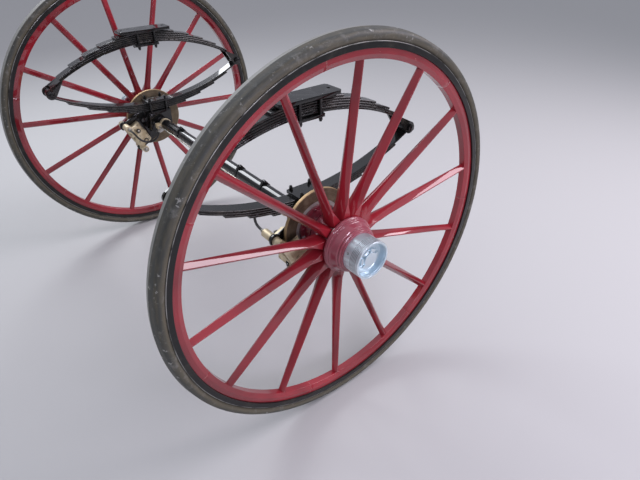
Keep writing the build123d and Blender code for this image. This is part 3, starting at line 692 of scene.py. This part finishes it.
def lathe(name, node, sideName, points, slot, material=None, steps=224, seams=()):
    # turns an outline about the axle line to replace a node; seams are turns with a fine groove
    outline = rounded(points)
    middle = sum(outline, Vector((0, 0))) / len(outline)
    turns = [(math.tau * n / steps, 0.0) for n in range(steps)]
    half = felloeForm["seamHalf"] / rimRadius
    for seam in seams:
        turns += [(seam - half, 0.0), (seam, felloeForm["seamDepth"]), (seam + half, 0.0)]
    form = bmesh.new()
    loops = []
    for turn, depth in sorted(turns):
        sunk = [point + (middle - point).normalized() * depth for point in outline]
        loops.append([form.verts.new(wheelSpot(sideName, along, radius, turn)) for along, radius in sunk])
    for loop, following in zip(loops, loops[1:] + loops[:1]):
        bridge(form, loop, following)
    bmesh.ops.remove_doubles(form, verts=form.verts, dist=0.002 * mm)  # one point on the axle line
    finish(f"{name}_{sideName}", form, f"wheel_{sideName}", slot, (f"{node}_{sideName}",), material)


# Spokes: dished, foot to foot on the nave's band, and tapering to a ridge at the front
spokeForm = {
    "count": 14, "phase": {"left": 16.0, "right": 4.5},  # the first spoke's turn, in degrees
    "dish": 27.0, "belly": 0.3, "edge": 0.5, "flank": 3.0, "bulge": 0.04, "ease": 3.0,
    # radius: width across the wheel's plane, depth along the axle, width of the front, width of the back
    "sections": {68: (31.5, 50, 29, 28), 120: (27, 42, 4, 14), 180: (26, 34, 3, 13), 494: (24, 21, 3, 12)},
    "stations": (70.5, 78, 86, 94, 102, 108, 113, 117, 120, 123, 128, 136, 150, 165, 175, 180, 185, 200, 250,
                 300, 350, 400, 450, 480, 496),
}


def spokeSize(radius):
    # the table's widths at a radius, on straight lines between its rows
    rows = sorted(spokeForm["sections"].items())
    radius = min(max(radius, rows[0][0]), rows[-1][0])
    for (low, first), (high, second) in zip(rows, rows[1:]):
        if radius <= high:
            share = (radius - low) / (high - low)
            return [a + share * (b - a) for a, b in zip(first, second)]


def shallow(first, last, bulge):
    # an arc between two points that stands out from the straight line by a share of its length
    (ax, ay), (bx, by) = first, last
    middle = ((ax + bx) / 2 - bulge * (by - ay), (ay + by) / 2 + bulge * (bx - ax))
    return bow(first, middle, last, 5)


def spokeOutline(radius):
    # the section at a radius, averaged a little either side so that its facets meet softly
    spread = (radius - spokeForm["ease"], radius, radius + spokeForm["ease"])
    width, depth, front, backWidth = (sum(column) / 3 for column in zip(*(spokeSize(r) for r in spread)))
    face = depth / 2
    widest = (width / 2, -spokeForm["belly"] * face)
    edge, bulge = spokeForm["edge"], spokeForm["bulge"]
    fore = shallow((front / 2, face), widest, bulge)
    rear = shallow(widest, (backWidth / 2, -face), bulge)
    rightHalf = [(*fore[0][:2], edge), *fore[1:-1], (*widest, spokeForm["flank"]), *rear[1:-1],
                 (*rear[-1][:2], edge)]
    leftHalf = [(-x, y, size) for x, y, size in reversed(rightHalf)]
    return rounded(rightHalf + leftHalf, 3)


def makeSpokes(sideName):
    side, inner = sides[sideName], felloeForm["inner"]
    centre = Vector((0, side * wheelY, axleZ))
    form = bmesh.new()
    for number in range(spokeForm["count"]):
        angle = math.radians(spokeForm["phase"][sideName] + number * 360 / spokeForm["count"])
        radial = Vector((math.cos(angle), 0, math.sin(angle)))
        across = Vector((-math.sin(angle), 0, math.cos(angle)))
        loops = []
        for radius in spokeForm["stations"]:
            lean = spokeForm["dish"] * (inner - radius) / (inner - naveForm["band"])
            middle = centre + radial * radius * mm - Vector((0, side * lean * mm, 0))
            loops.append([form.verts.new(middle + across * x * mm + Vector((0, side * y * mm, 0)))
                          for x, y in spokeOutline(radius)])
        for low, high in zip(loops, loops[1:]):
            bridge(form, low, high)
        form.faces.new(loops[0])
        form.faces.new(loops[-1])
    finish(f"spokes_set_{sideName}", form, f"wheel_{sideName}", "burgundy_enamel", (f"spokes_{sideName}",),
           crease=60)


print("wheels")
for sideName in sides:
    firstSeam = math.radians(spokeForm["phase"][sideName] + 180 / spokeForm["count"])
    seams = [(firstSeam + math.tau * n / felloeForm["seams"]) % math.tau for n in range(felloeForm["seams"])]
    felloeEnamel = enamelPaint(f"felloeEnamel_{sideName}", firstSeam)
    # the nave's enamel carries a painted purplish sky reflection
    naveEnamel = enamelPaint(f"naveEnamel_{sideName}", paintedSheenOrRustBloom=0.45)
    lathe("tyre_worn", "tyre", sideName, tyreOutline(), "tyre_rubber")
    lathe("channel", "tyre_channel", sideName, channelOutline(), "channel_steel")
    lathe("felloe_rim", "felloe", sideName, felloeOutline(), "burgundy_enamel", felloeEnamel, seams=seams)
    lathe("nave_turned", "nave", sideName, naveOutline(), "burgundy_enamel", naveEnamel, steps=128)
    lathe("hub_cap_turned", "hub_cap", sideName, capOutline(), "turned_aluminium", steps=128)
    makeSpokes(sideName)

print("small fittings")
# heads as (height, radius) in millimetres, each ending in its socket
grubScrew = {"along": 66.0, "sunk": 0.5, "angle": 24.0,
             "head": [(0, 3.2), (0.62, 3.2), (0.62, 1.984), (0.1, 1.76)]}
flangeBolts = {"count": 6, "circle": 63.6, "angle": 12.0, "flangeThickness": 8.0,
               "head": [(0, 4.4), (4.4, 4.4), (5.0, 3.8), (5.0, 2.42), (2.6, 2.2)]}
for sideName, side in sides.items():
    form = bmesh.new()
    along, turn = grubScrew["along"], math.radians(grubScrew["angle"])
    spot = wheelSpot(sideName, along, capRadius - grubScrew["sunk"], turn)
    addTurned(form, spot, spot - wheelSpot(sideName, along, 0, 0), grubScrew["head"], 18)
    finish(f"grub_screw_{sideName}", form, f"wheel_{sideName}", "pad_iron")
    form = bmesh.new()
    for number in range(flangeBolts["count"]):
        turn = math.radians(flangeBolts["angle"] + number * 360 / flangeBolts["count"])
        spot = wheelSpot(sideName, discFace + flangeBolts["flangeThickness"], flangeBolts["circle"], turn)
        addTurned(form, spot, Vector((0, side, 0)), flangeBolts["head"], 18)
    finish(f"flange_bolts_{sideName}", form, f"wheel_{sideName}", "burgundy_enamel_iron")

print("brake fittings")
# the caliper's turn in degrees above the forward direction, its sizes in millimetres
caliperForm = {
    "turn": -28.0, "inner": 74.0, "jaw": 34.0, "padGap": 1.0, "pistonShift": 4.0, "boss": 12.0,
    "sleevePlace": 126.0, "sleeveSpread": 58.5, "portSpread": 27.0, "portLength": 16.0,
}
# outlines as (along, radius), hexagons as (radius, height)
bellows = [(-0.3, 14.2), (1.0, 16.2), (2.2, 16.2), (3.2, 14.8), (4.2, 15.9), (5.2, 15.9), (6.2, 14.5),
           (7.2, 15.4), (8.2, 15.4), (9.2, 14.0)]
portCap = [(-5.0, 8.3), (-4.6, 9.3), (0.4, 9.3), (1.2, 8.6), (1.2, 5.6), (-1.0, 5.2)]
pistonCover = [(-0.3, 21.5), (1.5, 21.5), (2.2, 20.8), (2.2, 17.4), (1.3, 16.8), (1.3, 8.6), (2.6, 7.8),
               (2.6, 2.2), (1.6, 1.6)]
bleedScrew = {"seat": 1.0, "hexagon": (4.8, 4.8),
              "nipple": [(3.8, 2.7), (7.5, 2.7), (8.2, 3.3), (9.0, 3.3), (11.0, 2.1), (11.6, 1.6)]}
slideBolt = {"washer": [(-0.2, 10.4), (1.4, 10.4), (1.8, 10.0)], "washerHeight": 1.8, "hexagon": (8.2, 7.0)}
flareNut = {"hexagon": (5.6, 7.5), "collar": [(7.0, 4.0), (9.5, 4.0), (10.2, 3.2)]}


def caliperSpot(side, inset, radius, rise):
    # inward of the wheel's middle plane, out from the axle line and up along the disc's edge
    turn = math.radians(caliperForm["turn"])
    forward = radius * math.cos(turn) - rise * math.sin(turn)
    above = radius * math.sin(turn) + rise * math.cos(turn)
    return Vector((forward * mm, side * (wheelY - inset * mm), axleZ + above * mm))


# how far inward of the wheel's middle plane the bracket, the guide sleeves and the caliper's face reach
bracketInner = (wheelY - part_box("caliper_bracket_left")[0].y) / mm
sleeveEnd = (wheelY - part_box("caliper_left")[0].y) / mm
caliperEnd = (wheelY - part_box("brake_pads_left")[0].y) / mm + caliperForm["padGap"] + caliperForm["jaw"]
portEnd = caliperEnd + caliperForm["portLength"]
pistonPlace = (caliperForm["inner"] + discRadius) / 2 + caliperForm["pistonShift"]
sleevePlace, sleeveSpread = caliperForm["sleevePlace"], caliperForm["sleeveSpread"]
for sideName, side in sides.items():
    inward = Vector((0, -side, 0))
    boots, caps = bmesh.new(), bmesh.new()
    for end in (1, -1):
        spot = caliperSpot(side, bracketInner, sleevePlace, end * sleeveSpread)
        addTurned(boots, spot, inward, bellows, 32)
        spot = caliperSpot(side, portEnd, pistonPlace, end * caliperForm["portSpread"])
        addTurned(caps, spot, inward, portCap, 28)
    finish(f"slide_boots_{sideName}", boots, "axle", "hose_rubber")
    finish(f"port_caps_{sideName}", caps, "axle", "hose_rubber")
    form = bmesh.new()
    spot = caliperSpot(side, caliperEnd + caliperForm["boss"], pistonPlace, 0)
    addTurned(form, spot, inward, pistonCover, 48)
    finish(f"piston_cover_{sideName}", form, "axle", "plated_iron")
    form = bmesh.new()
    spot = caliperSpot(side, sleeveEnd, sleevePlace, -sleeveSpread)
    addTurned(form, spot, inward, slideBolt["washer"], 28)
    addTurned(form, spot + inward * slideBolt["washerHeight"] * mm, inward, hexHead(*slideBolt["hexagon"]), 6)
    spot = caliperSpot(side, portEnd, pistonPlace, caliperForm["portSpread"])
    addTurned(form, spot - inward * bleedScrew["seat"] * mm, inward, hexHead(*bleedScrew["hexagon"]), 6)
    addTurned(form, spot, inward, bleedScrew["nipple"], 18)
    finish(f"caliper_screws_{sideName}", form, "axle", "pipe_steel")

form = bmesh.new()
pipeLow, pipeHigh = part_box("brake_pipe")
pipeX = (pipeLow.x + pipeHigh.x) / 2
for side in sides.values():
    for start, way in ((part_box("hose_union_left")[0].y, -1), (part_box("brake_tee")[1].y, 1)):
        spot = Vector((pipeX, side * start, axleZ))
        along = Vector((0, side * way, 0))
        addTurned(form, spot, along, hexHead(*flareNut["hexagon"]), 6)
        addTurned(form, spot, along, flareNut["collar"])
finish("flare_nuts", form, "axle", "pipe_steel")

print("softened ironwork")
# node: width of its eased edges, in millimetres
softEdges = {
    "cap_nut": 0.7, "disc_flange": 0.8, "brake_disc": 0.6,
    "caliper": 1.4, "caliper_bracket": 0.8, "brake_pads": 0.5,
    "spring_pad": 1.0, "axle_strap": 1.0, "lower_clip_plate": 1.0, "upper_clip_plate": 1.0,
    "spring_saddle": 1.4, "eye_bolts": 0.7, "lower_clip_bolts": 0.6, "upper_clip_bolts": 0.5,
    "hose_union": 0.8,
}
# points closer than weld and faces flatter than flat are merged, and edges sharper than sharp are eased
easing = {"weld": 0.01 * mm, "flat": math.radians(1.5), "sharp": math.radians(30), "profile": 0.6}
recordSlots = {part["node"]: part["material_slot"] for part in frame["record"]["subparts"]}
wheelNodes = ("cap_nut", "disc_flange", "brake_disc")


def soften(node, width, body):
    # a copy of the node's mesh with its hard edges eased stands in its place
    form = bmesh.new()
    form.from_mesh(frame["nodes"][node].data)
    bmesh.ops.remove_doubles(form, verts=form.verts, dist=easing["weld"])
    bmesh.ops.dissolve_limit(form, angle_limit=easing["flat"], verts=form.verts, edges=form.edges)
    sharp = [edge for edge in form.edges if edge.is_manifold and edge.calc_face_angle(0.0) > easing["sharp"]]
    bmesh.ops.bevel(form, geom=sharp, offset=width * mm, offset_type="OFFSET", segments=2,
                    profile=easing["profile"], affect="EDGES", clamp_overlap=True)
    finish(f"{node}_eased", form, body, recordSlots[node], (node,), crease=50)


for sideName in sides:
    for node, width in softEdges.items():
        soften(f"{node}_{sideName}", width, f"wheel_{sideName}" if node in wheelNodes else "axle")

print("carried-over pieces")
for name, piece in frame["nodes"].items():
    piece.data.materials.clear()
    spring = name.startswith(("spring_upper", "spring_lower"))
    piece.data.materials.append(springPaint if spring else finishes[recordSlots[name]])

print("floor and light")
studio = {
    "floor": (0.46, 0.46, 0.455), "reach": 30.0, "sky": (0.86, 0.88, 1.0),
    # the sky's strength below and above the heights between which it rises
    "horizon": 0.30, "zenith": 0.72, "rise": (0.15, 0.75),
}
reach = studio["reach"]
floorMesh = bpy.data.meshes.new("floor")
corners = [(-reach, -reach, floorZ), (reach, -reach, floorZ), (reach, reach, floorZ), (-reach, reach, floorZ)]
floorMesh.from_pydata(corners, [], [(0, 1, 2, 3)])
floor = newObject("floor", floorMesh)
floorPaint = Paint("floorPaint", Base_Color=(*studio["floor"], 1.0), Roughness=0.7, Specular_IOR_Level=0.2)
floorMesh.materials.append(floorPaint.material)

world = bpy.data.worlds.new("studio")
world.use_nodes = True
bpy.context.scene.world = world
sky = world.node_tree.nodes["Background"]
sky.inputs["Color"].default_value = (*studio["sky"], 1.0)
skyNodes = Nodes(world.node_tree)
height = skyNodes.parts(skyNodes.node("ShaderNodeTexCoord", {}, {}, out="Generated"))[2]
glow = skyNodes.step(height, *studio["rise"], studio["horizon"], studio["zenith"])
world.node_tree.links.new(glow.socket, sky.inputs["Strength"])

lamps = {
    "rear": {"place": (0.2, -2.7, 1.9), "aim": (0.0, 0.3, -0.36), "size": (2.0, 1.4), "power": 80.0,
             "colour": (0.92, 0.95, 1.0)},
    "window": {"place": (0.1, 3.5, 0.75), "aim": (0.0, 0.7, -0.3), "size": (1.8, 0.45), "power": 40.0,
               "colour": (0.88, 0.82, 1.0)},
    "side": {"place": (-2.9, 1.7, 2.1), "aim": (0.0, 0.6, -0.4), "size": (2.5, 2.2), "power": 115.0,
             "colour": (0.99, 0.91, 1.0)},
}
for name, lamp in lamps.items():
    light = bpy.data.lights.new(name, "AREA")
    light.shape = "RECTANGLE"
    light.size, light.size_y = lamp["size"]
    light.energy = lamp["power"]
    light.color = lamp["colour"]
    holder = newObject(name, light)
    holder.location = lamp["place"]
    holder.rotation_mode = "QUATERNION"
    holder.rotation_quaternion = (Vector(lamp["aim"]) - Vector(lamp["place"])).to_track_quat("-Z", "Y")
